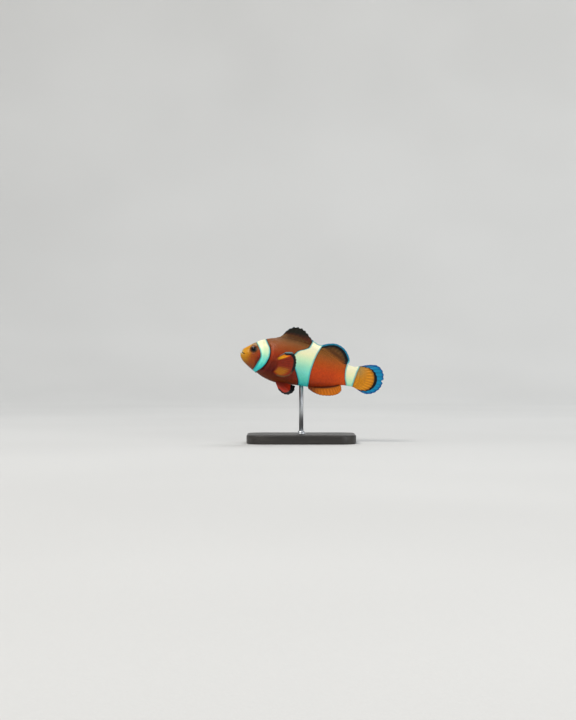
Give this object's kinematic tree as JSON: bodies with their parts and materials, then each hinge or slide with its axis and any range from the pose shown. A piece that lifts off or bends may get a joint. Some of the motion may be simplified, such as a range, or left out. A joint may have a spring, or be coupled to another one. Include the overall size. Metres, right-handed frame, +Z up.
{
  "type": "clownfish display model",
  "caption": "Life-size banded reef fish with spread fins, nose slightly up, held on one rod over a flat rounded display base.",
  "frame": {"origin": "centre of the display base's underside, where the part rests on the floor", "axes": "+Z up, +X towards the tail, -X towards the snout; the fish's left side faces -Y and its right side +Y; the body is pitched 12 degrees nose up"},
  "size_m": [0.0792, 0.04, 0.0636],
  "materials": {
    "face": "satin, like wet skin, golden orange",
    "skin": "satin, fine scales, orange with three pale bands",
    "fin": "satin, orange with a dark edge and a thin blue rim",
    "eye": "high gloss, black pupil in a dark orange iris",
    "stand_base": "fine matt, dark grey",
    "stand_rod": "brushed"
  },
  "bodies": {
    "root": {"head": "face", "lower_jaw": "face", "gill_cover_left": "skin", "gill_cover_right": "skin", "eye_left": "eye", "eye_right": "eye", "trunk": "skin", "tail_stalk": "skin", "dorsal_fin_spiny": "fin", "dorsal_fin_soft": "fin", "anal_fin": "fin", "caudal_fin": "fin", "pectoral_fin_left": "fin", "pectoral_fin_right": "fin", "pelvic_fin_left": "fin", "pelvic_fin_right": "fin", "stand_base": "stand_base", "stand_rod": "stand_rod"}
  },
  "joints": []
}
